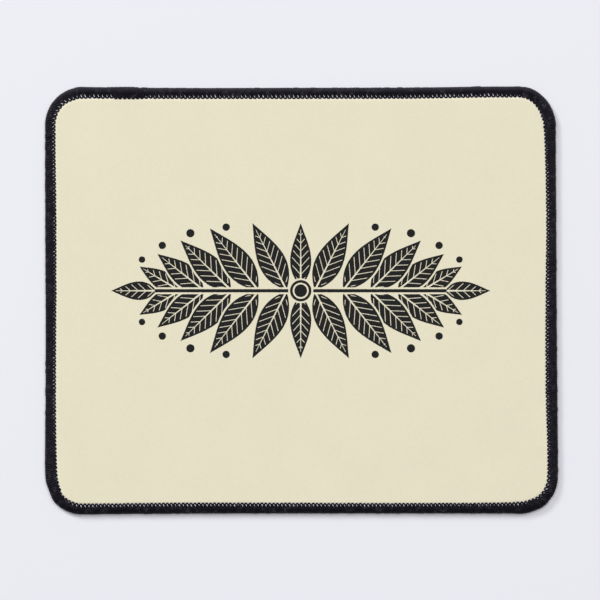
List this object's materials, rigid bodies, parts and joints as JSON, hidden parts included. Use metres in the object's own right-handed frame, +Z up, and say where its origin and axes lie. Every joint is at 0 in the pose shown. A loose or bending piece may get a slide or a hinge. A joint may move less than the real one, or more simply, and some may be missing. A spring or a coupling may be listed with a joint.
{
  "type": "mouse pad",
  "caption": "Flat rectangular mouse pad with rounded corners: a printed cloth top on a sponge rubber base, its edge overlocked with thread all round.",
  "frame": {"origin": "middle of the underside, on the surface that the pad lies on", "axes": "+X to the right along the long side, +Y away from the user, +Z up"},
  "size_m": [0.235, 0.197, 0.0045],
  "materials": {
    "rubber": "matte sponge rubber",
    "cloth": "fine matte polyester knit, cream",
    "thread": "black polyester thread with a soft sheen"
  },
  "bodies": {
    "root": {"rubber_base": "rubber", "cloth_top": "cloth", "upper_thread_cover": "thread", "lower_thread_cover": "thread", "loop_row": "thread", "seam_overlap": "thread"}
  },
  "joints": []
}
